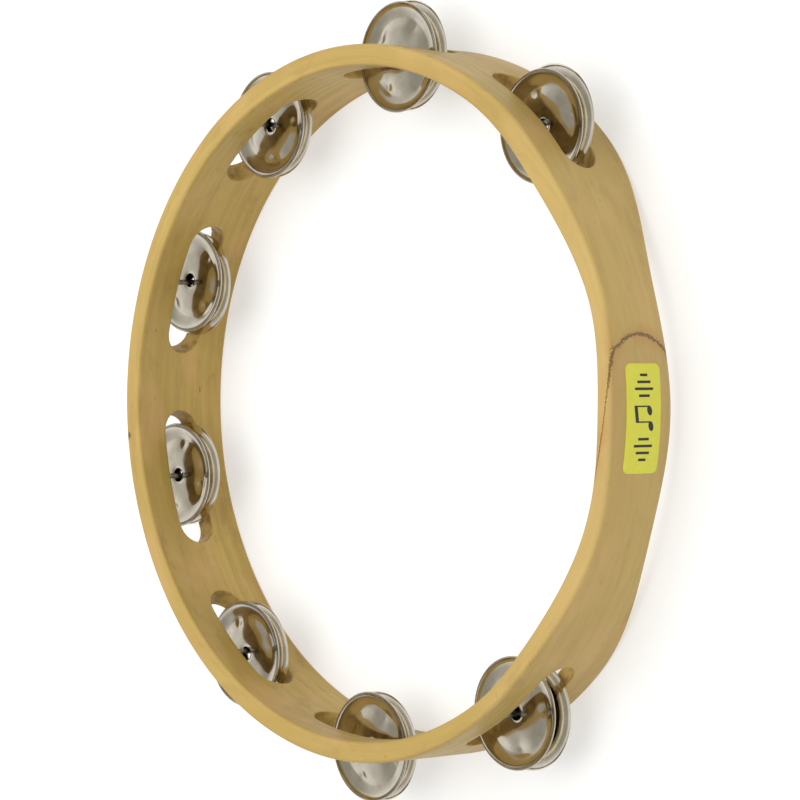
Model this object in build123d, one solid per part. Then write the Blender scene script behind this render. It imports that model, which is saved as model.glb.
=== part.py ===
from build123d import *
import os
from math import cos, pi, radians, sin

# A headless tambourine lying flat: one bent wood hoop with eight slots, a steel pin across each slot,
# a pair of loose dished jingles on each pin, and a label on the narrowed grip.
# Origin: centre of the hoop, on the plane that its lower rim rests on. +Z: the hoop's axis.
# The grip faces -Y. All sizes in millimetres, all angles in degrees.

# Hoop strip
HOOP_RADIUS = 127.0          # outside radius, a 10 inch hoop
WALL = 7.6                   # thickness of the bent strip
DEPTH = 41.3                 # width of the strip, rim to rim
MID = DEPTH / 2
RIM_ROUND = 1.2              # rounding of the four long edges

# Grip: the hoop is flattened a little and both rims are scooped, deepest on each side of the palm
GRIP_ANGLE = -90.0
FLAT_DEPTH = 4.1             # outer wall
INNER_FLAT_DEPTH = 5.2
OUTER_FLAT_RAMPS = ((20.0, 54.0), (10.0, 92.0))      # full up to, and gone from; +X side, then -X side
INNER_FLAT_RAMPS = ((22.0, 62.0), (15.0, 58.0))
SCOOP_DEPTH = 7.3
SCOOP_CENTRE_DEPTH = 5.45
SCOOP_PEAK = 18.0
SCOOP_END = 48.0
SCOOP_LIFT = 0.05            # the scoop runs out through the rim at this height, not tangent to it

# Slots and pins
STATIONS = 8
PITCH = 35.3
PATTERN_MIDDLE = 87.25       # middle of the row of eight slots, opposite the grip
SLOT_LENGTHS = (54, 52, 50.5, 51, 51.5, 49.5, 52, 54)      # cut by hand, so they differ a little
SLOT_WIDTH = 15.0
SLOT_TURN = (-0.5, 0, 0.6, 0.3, 0.5, -0.3, -0.4, 2.0)      # how far each slot is from even spacing
PIN_TURN = (-1.3, -0.4, -0.1, -0.1, -0.3, 0.4, 0.2, 0.4)   # and each pin
PIN_CIRCLE = HOOP_RADIUS - WALL / 2
PIN_RADIUS = 1.0
PIN_LENGTH = 38.0
PIN_HEAD_RADIUS = 1.7
PIN_HEAD_THICKNESS = 0.7

# Jingles: each is a shallow pan of sheet steel with a raised hub, its contact face at height 0
JINGLE_RADIUS = 19.8
JINGLE_HOLE_RADIUS = 2.6
SHEET = 0.6
RIM_HEIGHT = 2.5             # top of the rim above the contact face
HUB_RADIUS = 5.4
HUB_HEIGHT = 1.1
TROUGH_RADIUS = 14.3

# Where each loose jingle lies: X and Y from its pin's axis, and its contact face above the hoop's middle
UPPER_REST = ((-1.3, -0.6, 0.4), (0.2, -0.6, 0.1), (-0.3, -0.8, -1.6), (0.8, -0.6, -1.8),
              (0.3, 0.4, -1.0), (-0.9, 0.1, -1.0), (-1.2, -0.4, -1.8), (0.3, -0.5, -1.9))
LOWER_REST = ((0.6, -1.1, 0.1), (1.1, -0.8, -0.3), (0.3, 0.1, -1.9), (-0.4, 0.2, -2.4),
              (0.8, 0.3, -1.4), (-1.3, 0.4, -1.3), (-1.4, -0.2, -2.1), (-0.2, -1.3, -4.1))

# Label
LABEL_LENGTH = 36.7
LABEL_HEIGHT = 16.5
LABEL_THICKNESS = 0.15
GLUE_FILM = 0.03
LABEL_CORNER = 2.2
LABEL_TURN = -0.8


def grip_flat(offset, depth, ramps):
    """How far a wall is pushed inwards at an angle away from the grip's centre."""
    full_to, end = ramps[0] if offset > 0 else ramps[1]
    turn = min(max((abs(offset) - full_to) / (end - full_to), 0), 1)
    return depth * (1 + cos(pi * turn)) / 2


def grip_scoop(offset):
    """How far each rim is cut back at an angle away from the grip's centre."""
    away = abs(offset)
    if away < SCOOP_PEAK:
        rise = (SCOOP_DEPTH - SCOOP_CENTRE_DEPTH) / 2
        return SCOOP_DEPTH - rise * (1 + cos(pi * away / SCOOP_PEAK))
    turn = min((away - SCOOP_PEAK) / (SCOOP_END - SCOOP_PEAK), 1)
    return SCOOP_DEPTH * (1 + cos(pi * turn)) / 2


def on_circle(radius, angle, height=0.0):
    return Vector(radius * cos(radians(angle)), radius * sin(radians(angle)), height)


def outline(radius, depth, ramps):
    """Plan face bounded by one wall: an arc, closed by a spline across the flattened grip."""
    start = GRIP_ANGLE + ramps[0][1]
    end = GRIP_ANGLE - ramps[1][1]
    far = ThreePointArc(on_circle(radius, start), on_circle(radius, (start + end) / 2 + 180),
                        on_circle(radius, end))
    step = (start - end) / 20
    offsets = [end - GRIP_ANGLE + step * count for count in range(21)]
    grip_points = [on_circle(radius - grip_flat(offset, depth, ramps), GRIP_ANGLE + offset)
                   for offset in offsets]
    tangents = [on_circle(1, end + 90), on_circle(1, start + 90)]
    return make_face([far, Spline(*grip_points, tangents=tangents)])


def scoop_cutter():
    """Prism along Y that cuts the grip's upper rim back."""
    step = SCOOP_END / 10
    offsets = [-SCOOP_END + step * count for count in range(21)]
    curve = []
    for offset in offsets:
        radius = HOOP_RADIUS - grip_flat(offset, FLAT_DEPTH, OUTER_FLAT_RAMPS)
        curve.append(Vector(radius * sin(radians(offset)), 0, DEPTH - grip_scoop(offset) + SCOOP_LIFT))
    rim = Spline(*curve, tangents=[Vector(1, 0, 0), Vector(1, 0, 0)])
    above = Vector(0, 0, 5)
    lid = Polyline(curve[-1], curve[-1] + above, curve[0] + above, curve[0])
    return extrude(make_face([rim, lid]), amount=HOOP_RADIUS + 10, dir=Vector(0, -1, 0))


def station_angle(index):
    return PATTERN_MIDDLE + (index - (STATIONS - 1) / 2) * PITCH


def slot_cutter(index):
    angle = station_angle(index) + SLOT_TURN[index]
    plane = Plane(origin=on_circle(PIN_CIRCLE, angle, MID), x_dir=on_circle(1, angle + 90),
                  z_dir=on_circle(1, angle))
    return extrude(plane * SlotOverall(SLOT_LENGTHS[index], SLOT_WIDTH), amount=WALL * 1.5, both=True)


def pin_centre(index, height=0.0):
    return on_circle(PIN_CIRCLE, station_angle(index) + PIN_TURN[index], height)


def pin(index):
    """Headed nail driven up from the lower rim, its head flush."""
    shank = Cylinder(PIN_RADIUS, PIN_LENGTH, align=(Align.CENTER, Align.CENTER, Align.MIN))
    head = Cylinder(PIN_HEAD_RADIUS, PIN_HEAD_THICKNESS, align=(Align.CENTER, Align.CENTER, Align.MIN))
    return Pos(*pin_centre(index)) * (shank + head)


def hoop():
    outer = outline(HOOP_RADIUS, FLAT_DEPTH, OUTER_FLAT_RAMPS)
    inner = outline(HOOP_RADIUS - WALL, INNER_FLAT_DEPTH, INNER_FLAT_RAMPS)
    strip = extrude(outer - inner, amount=DEPTH)
    upper_scoop = scoop_cutter()
    strip -= upper_scoop
    strip -= mirror(upper_scoop, about=Plane.XY.offset(MID))
    strip = fillet(strip.edges(), RIM_ROUND)
    for index in range(STATIONS):
        strip -= slot_cutter(index)
    for index in range(STATIONS):
        strip -= pin(index)
    return strip


def jingle():
    """Jingle facing up: section of even thickness with a rounded lip, revolved about its own axis."""
    lip = RIM_HEIGHT - SHEET / 2
    under = [(HUB_RADIUS, HUB_HEIGHT), (10.2, 0.82), (12.8, 0.3), (TROUGH_RADIUS, 0.02), (16.3, 0.17),
             (18.0, 0.65), (19.2, 1.4), (JINGLE_RADIUS, lip)]
    low = Spline(*[Vector(radius, 0, height) for radius, height in under],
                 tangents=[Vector(1, 0, 0), Vector(0, 0, 1)])
    raised = []
    for step in range(17):
        along = low.tangent_at(step / 16)
        raised.append(low.position_at(step / 16) + Vector(-along.Z, 0, along.X) * SHEET)
    high = Spline(*raised, tangents=[Vector(1, 0, 0), Vector(0, 0, 1)])
    edge = ThreePointArc(low @ 1, Vector(JINGLE_RADIUS - SHEET / 2, 0, RIM_HEIGHT), high @ 1)
    hole_low = Vector(JINGLE_HOLE_RADIUS, 0, HUB_HEIGHT)
    hole_high = hole_low + Vector(0, 0, SHEET)
    section = make_face([Line(hole_low, low @ 0), low, edge, high, Line(high @ 0, hole_high),
                         Line(hole_high, hole_low)])
    return revolve(section, Axis.Z)


def placed(shape, index, rest):
    """A jingle moved to where it lies on its pin."""
    return Pos(*pin_centre(index, MID)) * Pos(*rest) * shape


def label():
    radius = HOOP_RADIUS - FLAT_DEPTH + GLUE_FILM
    shell = Cylinder(radius + LABEL_THICKNESS, DEPTH) - Cylinder(radius, DEPTH)
    plane = Plane(origin=(0, -radius, 0), x_dir=(1, 0, 0), z_dir=(0, -1, 0))
    patch = extrude(plane * RectangleRounded(LABEL_LENGTH, LABEL_HEIGHT, LABEL_CORNER), amount=4,
                    both=True)
    return Pos(0, 0, MID) * (Rot(0, 0, LABEL_TURN) * (shell & patch))


def write(shape, name):
    solids = shape.solids()
    assert len(solids) == 1, name
    export_step(solids[0], f"parts/{name}.step")


os.makedirs("parts", exist_ok=True)
write(hoop(), "hoop")
write(label(), "label")
upper = jingle()
lower = mirror(upper, about=Plane.XY)
for index in range(STATIONS):
    number = index + 1
    write(pin(index), f"pin_{number}")
    write(placed(upper, index, UPPER_REST[index]), f"jingle_{number}_upper")
    write(placed(lower, index, LOWER_REST[index]), f"jingle_{number}_lower")
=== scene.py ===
import bmesh
import bpy
import math
from mathutils import Matrix, Vector
from mathutils.geometry import delaunay_2d_cdt


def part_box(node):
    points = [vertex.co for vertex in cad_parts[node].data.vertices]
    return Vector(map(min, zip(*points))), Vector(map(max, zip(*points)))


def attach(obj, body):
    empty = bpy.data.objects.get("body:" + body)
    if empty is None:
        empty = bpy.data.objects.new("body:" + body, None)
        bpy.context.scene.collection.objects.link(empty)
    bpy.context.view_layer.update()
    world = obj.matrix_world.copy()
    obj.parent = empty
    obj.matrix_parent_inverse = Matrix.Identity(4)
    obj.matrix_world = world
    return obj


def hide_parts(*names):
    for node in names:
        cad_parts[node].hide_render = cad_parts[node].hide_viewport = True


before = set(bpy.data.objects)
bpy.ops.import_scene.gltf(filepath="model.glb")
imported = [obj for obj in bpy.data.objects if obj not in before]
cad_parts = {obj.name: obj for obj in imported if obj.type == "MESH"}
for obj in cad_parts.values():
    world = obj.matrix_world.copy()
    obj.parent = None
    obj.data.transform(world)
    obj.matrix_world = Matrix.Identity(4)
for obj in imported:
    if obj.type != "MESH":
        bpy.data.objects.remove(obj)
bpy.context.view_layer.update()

# Every size below is in millimetres and every angle in degrees; meshes are scaled to metres when made.
MM = 0.001
STATIONS = 8


def box_mm(node):
    """Lowest and highest corner of a CAD node, in millimetres."""
    low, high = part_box(node)
    return Vector(low) / MM, Vector(high) / MM


# Hoop, from its CAD box
HOOP_LOW, HOOP_HIGH = box_mm("hoop")
HOOP_RADIUS = (HOOP_HIGH.x - HOOP_LOW.x) / 2
DEPTH = HOOP_HIGH.z - HOOP_LOW.z
MID = DEPTH / 2
WALL = 7.6
FLAT_DEPTH = HOOP_RADIUS + HOOP_LOW.y

# Grip, on the -Y side
GRIP_ANGLE = -90.0
INNER_FLAT_DEPTH = 5.2
OUTER_FLAT_RAMPS = ((20.0, 54.0), (10.0, 92.0))
INNER_FLAT_RAMPS = ((22.0, 62.0), (15.0, 58.0))
SCOOP_DEPTH = 7.3
SCOOP_CENTRE_DEPTH = 5.45
SCOOP_PEAK = 18.0
SCOOP_END = 48.0
GRIP_CROWN = 0.8             # how far both walls fall away from their middle height

# Long edges of the strip: crisp round the hoop, sanded rounder at the grip
EDGE_ROUND = 1.2
GRIP_OUTER_ROUND = 2.3
GRIP_INNER_ROUND = 1.8

# Slots: evenly spaced round the middle of the row, each turned a little and cut to its own length
PITCH = 35.3
PATTERN_MIDDLE = 87.25
SLOT_TURN = (-0.5, 0, 0.6, 0.3, 0.5, -0.3, -0.4, 2.0)
SLOT_LENGTHS = (54, 52, 50.5, 51, 51.5, 49.5, 52, 54)
SLOT_WIDTH = 15.0
SLOT_EDGE = 0.55             # rounding of a slot's lips

# Scarf joint: a slanted glued face that runs from the outer wall to the inner wall
SCARF_ANGLE = -77.6          # where the joint meets the outer wall
SCARF_SLOPE = 3.3            # degrees round the hoop per millimetre of depth into the wall

# Knot on the upper outer edge, opposite the grip
KNOT_ANGLE = 97.0

# Jingles, with their contact face at height 0
JINGLE_HOLE = 2.6
HOLE_BEVEL = 0.15
SHEET = 0.6
RIM_HEIGHT = 2.5
CONTACT_CLEARANCE = 0.02     # keeps the pressed sheet inside its node's box
HUB_RADIUS = 5.4             # the hub is level out to here
HUB_HEIGHT = 1.1
TROUGH_RADIUS = 14.3
DIMPLE_CIRCLE = 12.2
SPIN = {"upper": 20, "lower": 55}                    # how far the first pair is turned on its pin
SPIN_STEP = 37                                       # and how much further each next pair is

# (radius, height) of the underside between the hub and the trough, and between the trough and the lip
INTO_TROUGH = ((10.2, 0.82), (12.8, 0.3))
OUT_OF_TROUGH = ((16.3, 0.17), (18.0, 0.65), (19.2, 1.4))

# Label
LABEL_LENGTH = 36.7
LABEL_HEIGHT = 16.5
LABEL_CORNER = 2.2
LABEL_THICKNESS = 0.15
LABEL_ANGLE = -90.8
LABEL_EDGE = 0.2             # depth of its cut edge, which ends inside the wood
INK_CENTRE_SHIFT = 0.4       # the beat marks' rows are centred on the notes' stems


def away_from_grip(angle):
    """Signed angle from the middle of the grip, between -180 and 180."""
    return (angle - GRIP_ANGLE + 180) % 360 - 180


def ramp_down(value, start, end):
    """1 up to start, 0 from end on, with a smooth cosine fall between them."""
    turn = min(max((value - start) / (end - start), 0), 1)
    return (1 + math.cos(math.pi * turn)) / 2


def grip_flat(angle, depth, ramps):
    """How far a wall is pushed inwards; its ramp differs on the +X and the -X side."""
    away = away_from_grip(angle)
    return depth * ramp_down(abs(away), *(ramps[0] if away > 0 else ramps[1]))


def grip_scoop(angle):
    """How far each rim is cut back: deepest on each side of the palm, less in its middle."""
    away = abs(away_from_grip(angle))
    if away < SCOOP_PEAK:
        rise = (SCOOP_DEPTH - SCOOP_CENTRE_DEPTH) / 2
        return SCOOP_DEPTH - rise * (1 + math.cos(math.pi * away / SCOOP_PEAK))
    return SCOOP_DEPTH * ramp_down(away, SCOOP_PEAK, SCOOP_END)


def grip_share(angle):
    """1 in the middle of the grip, 0 beyond the scoop's ends."""
    return ramp_down(abs(away_from_grip(angle)), 0, SCOOP_END)


class Section:
    """The strip's section at one angle: half its depth, its crown, and each wall's radius and rounding."""

    def __init__(self, angle):
        share = grip_share(angle)
        self.half = MID - grip_scoop(angle)
        self.radius = {"outer": HOOP_RADIUS - grip_flat(angle, FLAT_DEPTH, OUTER_FLAT_RAMPS),
                       "inner": HOOP_RADIUS - WALL - grip_flat(angle, INNER_FLAT_DEPTH, INNER_FLAT_RAMPS)}
        self.round = {"outer": EDGE_ROUND + (GRIP_OUTER_ROUND - EDGE_ROUND) * share,
                      "inner": EDGE_ROUND + (GRIP_INNER_ROUND - EDGE_ROUND) * share}
        self.crown = GRIP_CROWN * share

    def inward(self, side):
        return -1 if side == "outer" else 1

    def wall(self, side, height_share):
        """Radius and height of a point on a wall; height_share runs from -1 to 1."""
        radius = self.radius[side] + self.inward(side) * self.crown * height_share ** 2
        return radius, MID + height_share * (self.half - self.round[side])

    def corner(self, side, top, turn):
        """A point on a rounded edge, from the wall (turn 0) to the rim face (turn 90)."""
        rounding = self.round[side]
        radius, height = self.wall(side, top)
        turned = math.radians(turn)
        return (radius + self.inward(side) * rounding * (1 - math.cos(turned)),
                height + top * rounding * math.sin(turned))


def polar(radius, angle, height):
    turned = math.radians(angle)
    return Vector((radius * math.cos(turned), radius * math.sin(turned), height))


def wall_point(side, angle, height_share):
    radius, height = Section(angle).wall(side, height_share)
    return polar(radius, angle, height)


def make_object(name, mesh_builder):
    mesh = bpy.data.meshes.new(name)
    mesh_builder.to_mesh(mesh)
    mesh_builder.free()
    mesh.shade_smooth()
    piece = bpy.data.objects.new(name, mesh)
    bpy.context.scene.collection.objects.link(piece)
    return piece


def even_normals(piece):
    modifier = piece.modifiers.new("even_normals", "WEIGHTED_NORMAL")
    modifier.weight = 90


def slot_angle(index):
    return PATTERN_MIDDLE + (index - (STATIONS - 1) / 2) * PITCH + SLOT_TURN[index]


# ---------------------------------------------------------------- hoop

COLUMNS = 360                # mesh points round the hoop
ROWS = 16                    # and up each wall
FLAT_WIDTH = 2.2             # millimetres for each degree, when a wall is unrolled to be triangulated
FLAT_HEIGHT = 19.0           # and for half the wall's height
ARC_STEPS = 14
STRAIGHT_STEPS = 22
CORNER_STEPS = 5
LIP_STEPS = 3
SLOT_GUARD = 1.1             # extra ring of points round a slot's lip
SLOT_CLEARANCE = 2.0         # where the wall's own grid of points stops short of the lip
WELD = 0.004                 # points closer than this are one


def slot_outline(length, grown):
    """Points of a slot's stadium, grown by a margin, as (along, height) from its middle."""
    radius = SLOT_WIDTH / 2 + grown
    straight = (length - SLOT_WIDTH) / 2
    points = []
    for side in (1, -1):
        for step in range(ARC_STEPS):
            turn = math.radians(-90 + 180 * step / ARC_STEPS)
            points.append((side * (straight + radius * math.cos(turn)), side * radius * math.sin(turn)))
        for step in range(STRAIGHT_STEPS):
            points.append((side * straight * (1 - 2 * step / STRAIGHT_STEPS), side * radius))
    return points


def over_a_slot(slots, place, grown):
    """Whether a point of a wall lies over one of the slots, each grown by a margin."""
    for station, length in slots:
        if place.dot(polar(1, station, 0)) > 0:
            straight = (length - SLOT_WIDTH) / 2
            beyond = max(abs(place.dot(polar(1, station + 90, 0))) - straight, 0)
            if math.hypot(beyond, place.z - MID) < SLOT_WIDTH / 2 + grown:
                return True
    return False


def on_wall(side, station, along, height):
    """(angle, height_share) of the wall point straight out from a slot's own (along, height)."""
    angle = station
    share = 0.0
    for _ in range(6):
        section = Section(angle)
        share = height / (section.half - section.round[side])
        radius = section.wall(side, share)[0]
        angle = station + math.degrees(math.asin(along / radius))
    return angle, share


def to_flat(angle, share):
    """A wall's (angle, height_share) unrolled, cut open at the grip."""
    return ((angle - 90 + 180) % 360 - 180) * FLAT_WIDTH, share * FLAT_HEIGHT


def from_flat(point):
    return 90 + point[0] / FLAT_WIDTH, point[1] / FLAT_HEIGHT


def add_wall(builder, side, slots):
    """One wall with the slots left open, triangulated unrolled and then wrapped round the hoop."""
    points = []
    edges = []
    for station, length in slots:
        first = len(points)
        outline = slot_outline(length, SLOT_EDGE)
        edges += [(first + step, first + (step + 1) % len(outline)) for step in range(len(outline))]
        for along, height in outline + slot_outline(length, SLOT_EDGE + SLOT_GUARD):
            points.append(to_flat(*on_wall(side, station, along, height)))
    for column in range(COLUMNS + 1):
        turned = 360 * column / COLUMNS - 180
        for row in range(ROWS + 1):
            share = -1 + 2 * row / ROWS
            if not over_a_slot(slots, wall_point(side, 90 + turned, share), SLOT_EDGE + SLOT_CLEARANCE):
                points.append((turned * FLAT_WIDTH, share * FLAT_HEIGHT))
    flat, _, faces, _, _, _ = delaunay_2d_cdt([Vector(point) for point in points], edges, [], 0, 1e-4)
    places = [wall_point(side, *from_flat(point)) for point in flat]
    made = [builder.verts.new(place * MM) for place in places]
    just_inside = SLOT_EDGE * 0.97
    for face in faces:
        centre = sum((places[index] for index in face), Vector()) / len(face)
        if not over_a_slot(slots, centre, just_inside):
            builder.faces.new([made[index] for index in face])


def join_rings(builder, rings):
    """Faces between each closed ring of vertices and the next."""
    count = len(rings[0])
    for ring, following in zip(rings, rings[1:]):
        for step in range(count):
            after = (step + 1) % count
            builder.faces.new((ring[step], ring[after], following[after], following[step]))


def add_rims(builder):
    """Both rounded rim faces, as rings of vertices round the hoop."""
    turns = [90 * step / CORNER_STEPS for step in range(CORNER_STEPS + 1)]
    for top in (1, -1):
        stops = [("outer", turn) for turn in turns] + [("inner", turn) for turn in reversed(turns)]
        rings = []
        for side, turn in stops:
            ring = []
            for column in range(COLUMNS):
                angle = -90 + 360 * column / COLUMNS
                radius, height = Section(angle).corner(side, top, turn)
                ring.append(builder.verts.new(polar(radius, angle, height) * MM))
            rings.append(ring)
        join_rings(builder, rings)


def add_slot(builder, station, length, layer):
    """The rounded lips of one slot and its walls through the strip."""
    outward = polar(1, station, 0)
    lips = {}
    for side in ("outer", "inner"):
        inward = -1 if side == "outer" else 1
        lips[side] = []
        for step in range(LIP_STEPS + 1):
            turn = math.radians(90 * step / LIP_STEPS)
            grown = SLOT_EDGE * (1 - math.sin(turn))
            sunk = SLOT_EDGE * (1 - math.cos(turn))
            ring = []
            for along, height in slot_outline(length, grown):
                place = wall_point(side, *on_wall(side, station, along, height))
                ring.append(place + outward * inward * sunk)
            lips[side].append(ring)
    across = list(zip(lips["outer"][-1], lips["inner"][-1]))
    through = [[outer.lerp(inner, share) for outer, inner in across] for share in (0.2, 0.4, 0.6, 0.8)]
    places = lips["outer"] + through + lips["inner"][::-1]
    rings = [[builder.verts.new(place * MM) for place in ring] for ring in places]
    for ring in rings[2:-2]:
        for vertex in ring:
            vertex[layer] = 1.0
    join_rings(builder, rings)


def make_hoop():
    """The whole wood strip; its slot walls carry the attribute slot_wall for their own look."""
    slots = [(slot_angle(index), SLOT_LENGTHS[index]) for index in range(STATIONS)]
    builder = bmesh.new()
    layer = builder.verts.layers.float.new("slot_wall")
    add_wall(builder, "outer", slots)
    add_wall(builder, "inner", slots)
    add_rims(builder)
    for station, length in slots:
        add_slot(builder, station, length, layer)
    bmesh.ops.remove_doubles(builder, verts=builder.verts, dist=WELD * MM)
    bmesh.ops.recalc_face_normals(builder, faces=builder.faces)
    piece = make_object("wood_hoop", builder)
    even_normals(piece)
    return piece


# ---------------------------------------------------------------- jingles

AROUND = 112                 # mesh points round a jingle
PATH_STEPS = 5
LIP_ARC_STEPS = 6


def smooth_path(points, steps):
    """Catmull-Rom points through a short list of (radius, height)."""
    path = []
    padded = [points[0]] + points + [points[-1]]
    for start in range(len(points) - 1):
        a, b, c, d = (Vector(padded[start + count]) for count in range(4))
        for step in range(steps):
            t = step / steps
            path.append(0.5 * ((2 * b) + (c - a) * t + (2 * a - 5 * b + 4 * c - d) * t ** 2
                               + (3 * b - a - 3 * c + d) * t ** 3))
    path.append(Vector(points[-1]))
    return path


def jingle_profile(radius):
    """Closed section of one jingle, from the hole's edge over the top to the lip and back underneath."""
    lip = RIM_HEIGHT - SHEET / 2
    curve = [(HUB_RADIUS, HUB_HEIGHT), *INTO_TROUGH, (TROUGH_RADIUS, CONTACT_CLEARANCE), *OUT_OF_TROUGH,
             (radius, lip)]
    hub = [Vector((JINGLE_HOLE + HOLE_BEVEL, HUB_HEIGHT)), Vector((4.0, HUB_HEIGHT))]
    under = hub + smooth_path(curve, PATH_STEPS)
    ahead = under[1:] + [under[-1] + Vector((0, 1))]
    behind = under[:1] + under[:-1]
    over = []
    for point, after, before in zip(under, ahead, behind):
        along = (after - before).normalized()
        over.append(point + Vector((-along.y, along.x)) * SHEET)
    over[-1] = Vector((radius - SHEET, lip))
    rim = []
    for step in range(1, LIP_ARC_STEPS):
        turn = math.pi * (1 - step / LIP_ARC_STEPS)
        rim.append(Vector((radius - SHEET / 2, lip)) + SHEET / 2 * Vector((math.cos(turn), math.sin(turn))))
    hole = [Vector((JINGLE_HOLE, HUB_HEIGHT + HOLE_BEVEL)),
            Vector((JINGLE_HOLE, HUB_HEIGHT + SHEET - HOLE_BEVEL))]
    return hole + over + rim + under[::-1]


def press(radius, angle):
    """Change in height from the four small dimples and a little unevenness of the pressed sheet."""
    sunk = 0.0
    for quarter in range(4):
        turned = math.radians(90 * quarter)
        away = math.hypot(radius * math.cos(angle) - DIMPLE_CIRCLE * math.cos(turned),
                          radius * math.sin(angle) - DIMPLE_CIRCLE * math.sin(turned))
        sunk += 0.22 * math.exp(-(away / 1.2) ** 2) + 0.42 * math.exp(-(away / 3.6) ** 2)
    within_rim = ramp_down(radius, 13.6, 16.0)
    return within_rim * (0.04 * math.cos(2 * angle + 0.6) - sunk)


def make_jingle(node, side, spin):
    """One jingle on its CAD node: facing up, or turned over for the lower one, and spun on its pin."""
    low, high = box_mm(node)
    up = 1 if side == "upper" else -1
    builder = bmesh.new()
    rings = []
    for point in jingle_profile((high.x - low.x) / 2):
        ring = []
        for step in range(AROUND):
            angle = 2 * math.pi * step / AROUND
            height = max(point.y + press(point.x, angle), CONTACT_CLEARANCE)
            turned = angle * up + math.radians(spin)
            place = Vector((point.x * math.cos(turned), point.x * math.sin(turned), height * up))
            ring.append(builder.verts.new(place * MM))
        rings.append(ring)
    join_rings(builder, rings + rings[:1])
    bmesh.ops.recalc_face_normals(builder, faces=builder.faces)
    piece = make_object(f"{node}_disc", builder)
    centre = (low + high) / 2
    piece.location = Vector((centre.x, centre.y, low.z if side == "upper" else high.z)) * MM
    piece.data.materials.append(nickel)
    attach(piece, node)
    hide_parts(node)


# ---------------------------------------------------------------- label

LABEL_COLUMNS = 24
LABEL_ROWS = 10


def rounded_rectangle(length, height, corner, steps=6, spacing=1.5):
    """Outline with arcs at its corners and evenly spaced points along its straight sides."""
    corners = []
    for quarter, (right, up) in enumerate(((1, 1), (-1, 1), (-1, -1), (1, -1))):
        centre = Vector((right * (length / 2 - corner), up * (height / 2 - corner)))
        for step in range(steps + 1):
            turn = math.radians(90 * quarter + 90 * step / steps)
            corners.append(centre + corner * Vector((math.cos(turn), math.sin(turn))))
    points = []
    for start, end in zip(corners, corners[1:] + corners[:1]):
        pieces = max(int((end - start).length / spacing), 1)
        points += [start.lerp(end, share / pieces) for share in range(pieces)]
    return points


def ellipse(centre, wide, high, lean, steps=20):
    turned = Matrix.Rotation(math.radians(lean), 2)
    ring = [Vector((wide * math.cos(2 * math.pi * step / steps), high * math.sin(2 * math.pi * step / steps)))
            for step in range(steps)]
    return [Vector(centre) + turned @ point for point in ring]


def bar(left, bottom, right, top, slant=0.0):
    """Upright bar, its right side raised by slant."""
    return [Vector((left, bottom)), Vector((right, bottom + slant)), Vector((right, top + slant)),
            Vector((left, top))]


def ink_shapes():
    """A pair of joined notes with rows of plain beat marks beside it."""
    shapes = [ellipse((-2.5, -3.3), 1.75, 1.2, 22), ellipse((2.7, -2.5), 1.75, 1.2, 22),
              bar(-1.35, -3.1, -0.85, 3.6), bar(3.85, -2.3, 4.35, 4.4), bar(-1.35, 2.5, 4.35, 4.0, 0.8)]
    heights = (2.6, 4.4, 3.2, 1.8)
    for side in (-1, 1):
        for count, half in enumerate(heights):
            middle = side * (7.2 + 2.3 * count) + INK_CENTRE_SHIFT
            shapes.append(bar(middle - 0.45, -half, middle + 0.45, half))
    return shapes


def inside(point, shape):
    """Even-odd test of a point against a closed outline."""
    hit = False
    for a, b in zip(shape, shape[1:] + shape[:1]):
        if (a.y > point.y) != (b.y > point.y):
            if point.x < (b.x - a.x) * (point.y - a.y) / (b.y - a.y) + a.x:
                hit = not hit
    return hit


def label_point(point, lift):
    """Wraps a point of the flat label round the grip, lifted off the wood, in metres."""
    radius = Section(LABEL_ANGLE).radius["outer"]
    angle = LABEL_ANGLE + math.degrees(point.x / radius)
    section = Section(angle)
    share = point.y / (section.half - section.round["outer"])
    return polar(section.wall("outer", share)[0] + lift, angle, MID + point.y) * MM


def make_label():
    """A thin skin with the ink's outlines cut into it, wrapped round the grip, and its cut edge."""
    rim = rounded_rectangle(LABEL_LENGTH, LABEL_HEIGHT, LABEL_CORNER)
    inks = ink_shapes()
    points = []
    edges = []
    for shape in [rim] + inks:
        first = len(points)
        points += shape
        edges += [(first + step, first + (step + 1) % len(shape)) for step in range(len(shape))]
    for column in range(1, LABEL_COLUMNS):
        for row in range(1, LABEL_ROWS):
            points.append(Vector((LABEL_LENGTH * (column / LABEL_COLUMNS - 0.5),
                                  LABEL_HEIGHT * (row / LABEL_ROWS - 0.5))))
    flat, _, faces, _, _, _ = delaunay_2d_cdt(points, edges, [], 1, 1e-4)
    builder = bmesh.new()
    made = [builder.verts.new(label_point(point, LABEL_THICKNESS)) for point in flat]
    for face in faces:
        centre = sum((flat[index] for index in face), Vector((0, 0))) / len(face)
        patch = builder.faces.new([made[index] for index in face])
        patch.material_index = 1 if any(inside(centre, shape) for shape in inks) else 0
    border = [edge for edge in builder.edges if edge.is_boundary]
    pulled = bmesh.ops.extrude_edge_only(builder, edges=border)["geom"]
    centre = label_point(Vector((0, 0)), 0)
    inward = Vector((-centre.x, -centre.y, 0)).normalized()
    for vertex in pulled:
        if isinstance(vertex, bmesh.types.BMVert):
            vertex.co += inward * LABEL_EDGE * MM
    bmesh.ops.recalc_face_normals(builder, faces=builder.faces)
    piece = make_object("grip_label", builder)
    piece.data.shade_flat()
    return piece


# ---------------------------------------------------------------- materials

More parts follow.
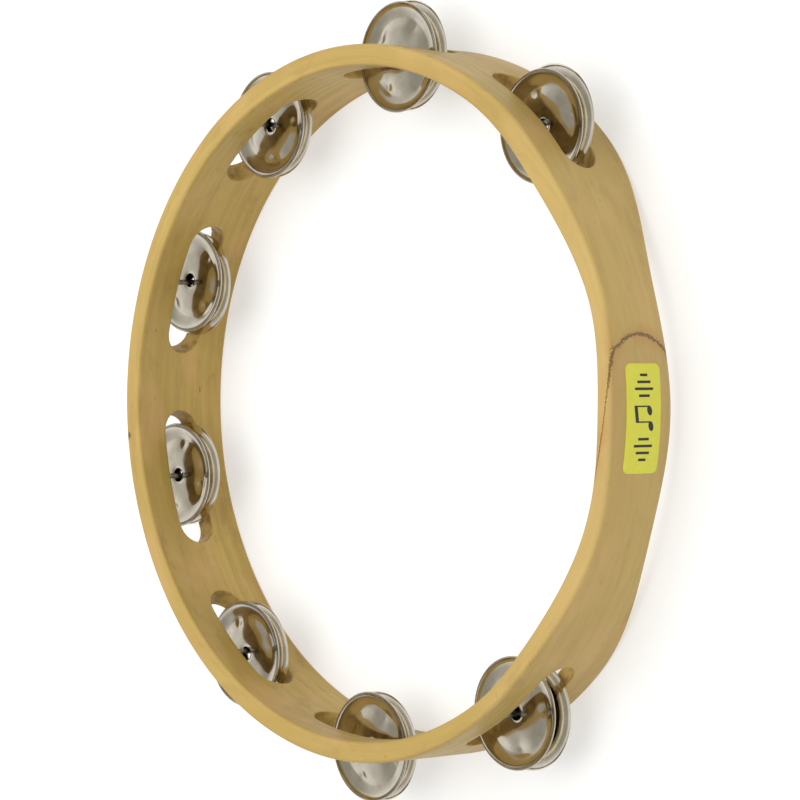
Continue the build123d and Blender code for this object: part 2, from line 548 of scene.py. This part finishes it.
class Shader:
    """A node material with short calls for the maths that its pattern needs."""

    def __init__(self, name):
        self.material = bpy.data.materials.new(name)
        self.material.use_nodes = True
        self.tree = self.material.node_tree
        self.surface = self.tree.nodes["Principled BSDF"]

    def put(self, socket, value):
        if isinstance(value, bpy.types.NodeSocket):
            self.tree.links.new(value, socket)
        else:
            socket.default_value = value

    def math(self, operation, *values):
        node = self.tree.nodes.new("ShaderNodeMath")
        node.operation = operation
        for socket, value in zip(node.inputs, values):
            self.put(socket, value)
        return node.outputs[0]

    def plus(self, *values):
        total = values[0]
        for value in values[1:]:
            total = self.math("ADD", total, value)
        return total

    def times(self, *values):
        total = values[0]
        for value in values[1:]:
            total = self.math("MULTIPLY", total, value)
        return total

    def minus(self, first, second):
        return self.math("SUBTRACT", first, second)

    def size(self, value):
        return self.math("ABSOLUTE", value)

    def length(self, *values):
        return self.math("SQRT", self.plus(*(self.times(value, value) for value in values)))

    def vector(self, x, y, z):
        node = self.tree.nodes.new("ShaderNodeCombineXYZ")
        for socket, value in zip(node.inputs, (x, y, z)):
            self.put(socket, value)
        return node.outputs[0]

    def parts(self, vector):
        node = self.tree.nodes.new("ShaderNodeSeparateXYZ")
        self.put(node.inputs[0], vector)
        return node.outputs

    def place(self):
        """Object coordinates in millimetres."""
        coordinates = self.tree.nodes.new("ShaderNodeTexCoord")
        node = self.tree.nodes.new("ShaderNodeVectorMath")
        node.operation = "SCALE"
        self.put(node.inputs[0], coordinates.outputs["Object"])
        node.inputs["Scale"].default_value = 1 / MM
        return node.outputs[0]

    def noise(self, vector, scale=1.0, detail=2.0, roughness=0.5, distortion=0.0):
        node = self.tree.nodes.new("ShaderNodeTexNoise")
        self.put(node.inputs["Vector"], vector)
        node.inputs["Scale"].default_value = scale
        node.inputs["Detail"].default_value = detail
        node.inputs["Roughness"].default_value = roughness
        node.inputs["Distortion"].default_value = distortion
        return node.outputs["Fac"]

    def stretched_noise(self, parts, scales, detail=2.0, roughness=0.5, distortion=0.0):
        """Noise with its own scale along each of three coordinates."""
        scaled = self.vector(*(self.times(part, scale) for part, scale in zip(parts, scales)))
        return self.noise(scaled, 1.0, detail, roughness, distortion)

    def between(self, value, low, high, to_low=0.0, to_high=1.0):
        """Smooth rise from to_low to to_high as value goes from low to high."""
        node = self.tree.nodes.new("ShaderNodeMapRange")
        node.interpolation_type = "SMOOTHSTEP"
        self.put(node.inputs["Value"], value)
        for name, number in (("From Min", low), ("From Max", high), ("To Min", to_low), ("To Max", to_high)):
            self.put(node.inputs[name], number)
        return node.outputs["Result"]

    def mix(self, share, first, second):
        node = self.tree.nodes.new("ShaderNodeMix")
        node.data_type = "RGBA"
        self.put(node.inputs["Factor"], share)
        colours = [socket for socket in node.inputs if socket.type == "RGBA"]
        self.put(colours[0], first)
        self.put(colours[1], second)
        return [socket for socket in node.outputs if socket.type == "RGBA"][0]

    def bump(self, height, strength, distance):
        node = self.tree.nodes.new("ShaderNodeBump")
        node.inputs["Strength"].default_value = strength
        node.inputs["Distance"].default_value = distance
        self.put(node.inputs["Height"], height)
        self.put(self.surface.inputs["Normal"], node.outputs["Normal"])


def colour(red, green, blue):
    return (red, green, blue, 1.0)


# Wood patterns: scales along the strip, up it and through it, then detail, roughness and distortion
WOOD_PATTERNS = {
    "broad": ((0.011, 0.035, 0.06), (3.0, 0.55, 0.6)),
    "streak": ((0.018, 0.42, 0.5), (5.0, 0.62, 0.35)),
    "fibre": ((0.09, 2.6, 2.6), (3.0, 0.6)),
    "fleck": ((0.17, 0.55, 0.55), (3.0, 0.6)),
    "smudge": ((0.07, 0.16, 0.16), (4.0, 0.65, 0.8)),
    "patchy": ((0.045, 0.07, 0.1), (2.0, 0.5)),
}
WOOD_DARK = colour(0.368, 0.238, 0.038)
WOOD_LIGHT = colour(0.458, 0.315, 0.069)
# Paler tone: real sanding at the grip, and painted light on the up-facing rim faces
WOOD_SANDED_AND_RIM_LIGHT = colour(0.595, 0.424, 0.168)

# Tones laid over the wood in turn: pattern, where it starts, where it is full, its share there, its colour
WOOD_TONES = (
    ("streak", 0.38, 0.72, 0.62, colour(0.310, 0.190, 0.027)),
    ("fibre", 0.30, 0.75, 0.12, colour(0.560, 0.420, 0.160)),
    ("smudge", 0.52, 0.72, 0.50, colour(0.270, 0.150, 0.034)),
    ("patchy", 0.48, 0.72, 0.42, colour(0.560, 0.330, 0.125)),
    ("fleck", 0.695, 0.76, 0.80, colour(0.10, 0.05, 0.016)),
)
OUTER_AT_GRIP = HOOP_RADIUS - FLAT_DEPTH


def beyond_scarf(shader, turn, radius):
    """Angle from the scarf's slanted face to a point, in radians, positive past it."""
    lag = shader.times(shader.minus(OUTER_AT_GRIP, radius), math.radians(SCARF_SLOPE))
    return shader.minus(turn, shader.plus(lag, math.radians(90 - SCARF_ANGLE)))


def scarf_marks(shader, place, beyond, facing_out, patchy):
    """The scarf's ragged dark glue line, widest on the outer wall, and a patchy stain beside it."""
    slope = math.radians(SCARF_SLOPE) * OUTER_AT_GRIP
    steepness = shader.math("SQRT", shader.minus(1 + slope ** 2 + 0.05,
                                                 shader.times(facing_out, facing_out, slope ** 2)))
    wander = shader.times(shader.minus(shader.noise(place, 0.55, 3.0), 0.5), 0.9)
    off_line = shader.plus(shader.times(beyond, OUTER_AT_GRIP), wander)
    gap = shader.size(shader.math("DIVIDE", off_line, steepness))
    width = shader.times(shader.between(shader.noise(place, 1.7, 2.0), 0.32, 0.66, 0.25, 1.35),
                         shader.between(facing_out, 0.0, 0.8, 0.35, 1.0))
    nearby = shader.math("LESS_THAN", shader.size(beyond), 0.6)
    line = shader.times(shader.between(shader.math("DIVIDE", gap, width), 0.35, 1.0, 1.0, 0.0), nearby)
    halo = shader.times(shader.between(gap, 0.6, 5.0, 0.40, 0.0), nearby, shader.between(patchy, 0.40, 0.60))
    return line, halo


def knot_mark(shader, place, along, z, radius):
    """A small dark knot on the upper outer edge opposite the grip."""
    offset = shader.minus(along, math.radians(90 - KNOT_ANGLE) * HOOP_RADIUS)
    down = shader.minus(z, DEPTH - 1.5)
    inward = shader.minus(radius, HOOP_RADIUS - 0.8)
    away = shader.length(shader.times(offset, 0.42), shader.times(down, 0.24), shader.times(inward, 0.42))
    rough = shader.plus(away, shader.times(shader.minus(shader.noise(place, 0.9, 3.0), 0.5), 0.9))
    return shader.between(rough, 0.45, 1.0, 0.85, 0.0)


def wood_material():
    """Pale hardwood with its grain round the strip, paler where sanded at the grip, rim faces paler with
    painted light, browner in the slots.
    """
    shader = Shader("pale_hardwood")
    place = shader.place()
    x, y, z = shader.parts(place)
    radius = shader.length(x, y)
    turn = shader.math("FLOORED_MODULO", shader.math("ARCTAN2", x, y), 2 * math.pi)
    beyond = beyond_scarf(shader, turn, radius)
    past = shader.math("GREATER_THAN", beyond, 0.0)
    along = shader.times(shader.minus(turn, shader.times(past, 2 * math.pi)), HOOP_RADIUS)
    pattern = {name: shader.stretched_noise((along, z, radius), scales, *settings)
               for name, (scales, settings) in WOOD_PATTERNS.items()}

    tone = shader.mix(shader.between(pattern["broad"], 0.32, 0.68), WOOD_DARK, WOOD_LIGHT)
    for name, start, full, share, layer in WOOD_TONES:
        tone = shader.mix(shader.between(pattern[name], start, full, 0.0, share), tone, layer)
    glue_stain = shader.times(past, shader.between(beyond, 0.0, 0.45, 0.34, 0.0))
    tone = shader.mix(glue_stain, tone, colour(0.30, 0.17, 0.055))

    normal = shader.tree.nodes.new("ShaderNodeNewGeometry").outputs["Normal"]
    nx, ny, nz = shader.parts(normal)
    # Painted light: rim faces are painted paler than the walls, as if lit from above; the grip's share below
    # is real sanding
    rim_painted_light = shader.between(shader.size(nz), 0.25, 0.9, 0.12, 0.34)
    at_grip = shader.between(y, -HOOP_RADIUS * 0.95, -HOOP_RADIUS * 0.45, 0.30, 0.0)
    tone = shader.mix(shader.plus(rim_painted_light, at_grip), tone, WOOD_SANDED_AND_RIM_LIGHT)

    facing_out = shader.math("DIVIDE", shader.plus(shader.times(nx, x), shader.times(ny, y)), radius)
    line, halo = scarf_marks(shader, place, beyond, facing_out, pattern["patchy"])
    tone = shader.mix(halo, tone, colour(0.420, 0.200, 0.045))
    tone = shader.mix(shader.times(line, 0.80), tone, colour(0.110, 0.060, 0.018))
    knot = knot_mark(shader, place, along, z, radius)
    tone = shader.mix(knot, tone, colour(0.10, 0.045, 0.02))

    slot_wall = shader.tree.nodes.new("ShaderNodeAttribute")
    slot_wall.attribute_name = "slot_wall"
    scorch = shader.between(shader.noise(place, 0.22, 4.0, 0.6), 0.42, 0.66, 0.05, 0.75)
    tone = shader.mix(shader.times(slot_wall.outputs["Fac"], scorch), tone, colour(0.235, 0.115, 0.022))

    shader.put(shader.surface.inputs["Base Color"], tone)
    shader.put(shader.surface.inputs["Roughness"], shader.between(pattern["streak"], 0.2, 0.8, 0.40, 0.58))
    shader.surface.inputs["Specular IOR Level"].default_value = 0.36
    shader.surface.inputs["Coat Weight"].default_value = 0.08
    shader.surface.inputs["Coat Roughness"].default_value = 0.35
    relief = shader.plus(shader.times(pattern["fibre"], 0.15), shader.times(pattern["streak"], 0.35),
                         shader.times(line, -0.8), shader.times(knot, -0.4))
    shader.bump(relief, 0.35, 0.0003)
    return shader.material


def nickel_material():
    """Bright plating with faint turning marks and a little tarnish, different on each jingle."""
    shader = Shader("bright_nickel")
    x, y, z = shader.parts(shader.place())
    info = shader.tree.nodes.new("ShaderNodeObjectInfo")
    shift = shader.times(info.outputs["Random"], 80.0)
    moved = shader.vector(shader.plus(x, shift), y, z)
    cloud = shader.noise(moved, 0.16, 3.0, 0.55)
    fine = shader.noise(moved, 1.6, 3.0, 0.6)
    radius = shader.length(x, y)
    turned = shader.noise(shader.vector(shader.times(radius, 3.0), shift, 0.0), 1.0, 2.0)
    tone = shader.mix(shader.between(cloud, 0.3, 0.7), colour(0.62, 0.565, 0.455), colour(0.72, 0.670, 0.570))
    tarnish = shader.between(fine, 0.62, 0.80, 0.0, 0.35)
    tone = shader.mix(tarnish, tone, colour(0.50, 0.44, 0.33))
    shader.put(shader.surface.inputs["Base Color"], tone)
    shader.surface.inputs["Metallic"].default_value = 1.0
    shader.put(shader.surface.inputs["Roughness"],
               shader.plus(shader.between(cloud, 0.25, 0.75, 0.09, 0.16), shader.times(tarnish, 0.2)))
    shader.bump(shader.plus(shader.times(turned, 0.5), shader.times(fine, 0.35)), 0.10, 0.0001)
    return shader.material


def pin_material():
    """Dull wire with fine drawing marks along it."""
    shader = Shader("drawn_steel")
    place = shader.place()
    drawn = shader.stretched_noise(shader.parts(place), (6.0, 6.0, 0.3), 3.0)
    stain = shader.noise(place, 0.5, 2.0)
    tone = shader.mix(shader.between(stain, 0.35, 0.7), colour(0.40, 0.385, 0.36), colour(0.24, 0.21, 0.17))
    shader.put(shader.surface.inputs["Base Color"], tone)
    shader.surface.inputs["Metallic"].default_value = 1.0
    shader.put(shader.surface.inputs["Roughness"], shader.between(drawn, 0.3, 0.7, 0.22, 0.38))
    shader.bump(drawn, 0.15, 0.0001)
    return shader.material


def label_material(name, base, worn, roughness):
    """Printed vinyl: faint mottling, a matt grain, and a trace of rubbing."""
    shader = Shader(name)
    place = shader.place()
    mottle = shader.noise(place, 0.35, 3.0)
    grain = shader.noise(place, 5.0, 2.0)
    tone = shader.mix(shader.between(mottle, 0.35, 0.75, 0.0, 0.5), base, worn)
    shader.put(shader.surface.inputs["Base Color"], tone)
    gloss = shader.between(grain, 0.3, 0.7, roughness, roughness + 0.12)
    shader.put(shader.surface.inputs["Roughness"], gloss)
    shader.bump(grain, 0.08, 0.0001)
    return shader.material


def floor_material():
    """White paper, lit a little from behind so that shadows on it stay faint."""
    shader = Shader("pale_floor")
    speckle = shader.noise(shader.place(), 0.02, 2.0)
    tone = shader.mix(shader.between(speckle, 0.3, 0.7), colour(0.50, 0.50, 0.495), colour(0.52, 0.52, 0.515))
    shader.put(shader.surface.inputs["Base Color"], tone)
    shader.surface.inputs["Roughness"].default_value = 0.75
    shader.surface.inputs["Emission Color"].default_value = colour(1.0, 1.0, 0.995)
    shader.surface.inputs["Emission Strength"].default_value = 0.50
    return shader.material


# ---------------------------------------------------------------- camera, floor and light

# Camera and lights, in metres; the roll is in degrees
CAMERA_PLACE = (0.03156, -0.88377, 0.84035)
CAMERA_TARGET = (0.0013, -0.00421, 0.02065)
CAMERA_ROLL = 0.698
CAMERA_LENS = 151.67


def aim(thing, place, target, up, roll=0.0):
    """Points an object's -Z axis at a target with its +Y axis nearest to up, then rolls it."""
    back = (Vector(place) - Vector(target)).normalized()
    upward = Vector(up) - back * back.dot(Vector(up))
    upward.normalize()
    right = upward.cross(back)
    turned = Matrix((right, upward, back)).transposed().to_4x4()
    thing.matrix_world = Matrix.Translation(place) @ turned @ Matrix.Rotation(math.radians(roll), 4, "Z")


def add_camera():
    """Looks across the grip from the upper front, turned a quarter so that +X is up in the picture."""
    data = bpy.data.cameras.new("camera")
    data.sensor_width = 36.0
    data.lens = CAMERA_LENS
    data.clip_start = 0.05
    data.clip_end = 20.0
    camera = bpy.data.objects.new("camera", data)
    bpy.context.scene.collection.objects.link(camera)
    aim(camera, CAMERA_PLACE, CAMERA_TARGET, (1, 0, 0), CAMERA_ROLL)
    bpy.context.scene.camera = camera


def add_light(name, place, target, size, power):
    """A round softbox that lights the object but isn't mirrored in the jingles."""
    data = bpy.data.lights.new(name, "AREA")
    data.shape = "DISK"
    data.size = size
    data.energy = power
    light = bpy.data.objects.new(name, data)
    light.visible_glossy = False
    bpy.context.scene.collection.objects.link(light)
    aim(light, place, target, (0, 0.3, 1))


def add_world():
    """Studio surround: dark round the horizon, white above it and greyer overhead."""
    world = bpy.data.worlds.new("studio")
    world.use_nodes = True
    tree = world.node_tree
    coordinates = tree.nodes.new("ShaderNodeTexCoord")
    parts = tree.nodes.new("ShaderNodeSeparateXYZ")
    ramp = tree.nodes.new("ShaderNodeValToRGB")
    tree.links.new(coordinates.outputs["Generated"], parts.inputs[0])
    tree.links.new(parts.outputs["Z"], ramp.inputs["Fac"])
    bands = ramp.color_ramp.elements
    bands[0].position = 0.16
    bands[0].color = colour(0.11, 0.10, 0.085)
    bands[1].position = 0.80
    bands[1].color = colour(0.40, 0.395, 0.37)
    bands.new(0.36).color = colour(1.0, 0.995, 0.985)
    bands.new(0.52).color = colour(0.85, 0.845, 0.83)
    background = tree.nodes["Background"]
    tree.links.new(ramp.outputs["Color"], background.inputs["Color"])
    background.inputs["Strength"].default_value = 0.95
    bpy.context.scene.world = world


def add_floor():
    builder = bmesh.new()
    bmesh.ops.create_grid(builder, x_segments=1, y_segments=1, size=4.0)
    floor = make_object("floor", builder)
    floor.data.materials.append(floor_material())


bpy.context.scene.view_settings.view_transform = "Standard"
add_camera()
add_world()
add_floor()
add_light("overhead_softbox", (0.25, 0.15, 1.6), (0, 0, 0), 2.4, 29.0)
add_light("front_softbox", (-0.5, -1.5, 1.1), (0, 0, 0.02), 1.8, 3.5)

wood = wood_material()
nickel = nickel_material()
steel = pin_material()

hoop = make_hoop()
hoop.data.materials.append(wood)
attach(hoop, "hoop")
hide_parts("hoop")

for index in range(STATIONS):
    for side, first_spin in SPIN.items():
        make_jingle(f"jingle_{index + 1}_{side}", side, first_spin + SPIN_STEP * index)

label = make_label()
label.data.materials.append(label_material("label_yellow", colour(0.66, 0.64, 0.045),
                                           colour(0.60, 0.57, 0.04), 0.38))
label.data.materials.append(label_material("label_ink", colour(0.008, 0.008, 0.007),
                                           colour(0.015, 0.015, 0.013), 0.5))
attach(label, "hoop")
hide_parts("label")

for index in range(STATIONS):
    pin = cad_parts[f"pin_{index + 1}"]
    pin.data.materials.clear()
    pin.data.materials.append(steel)
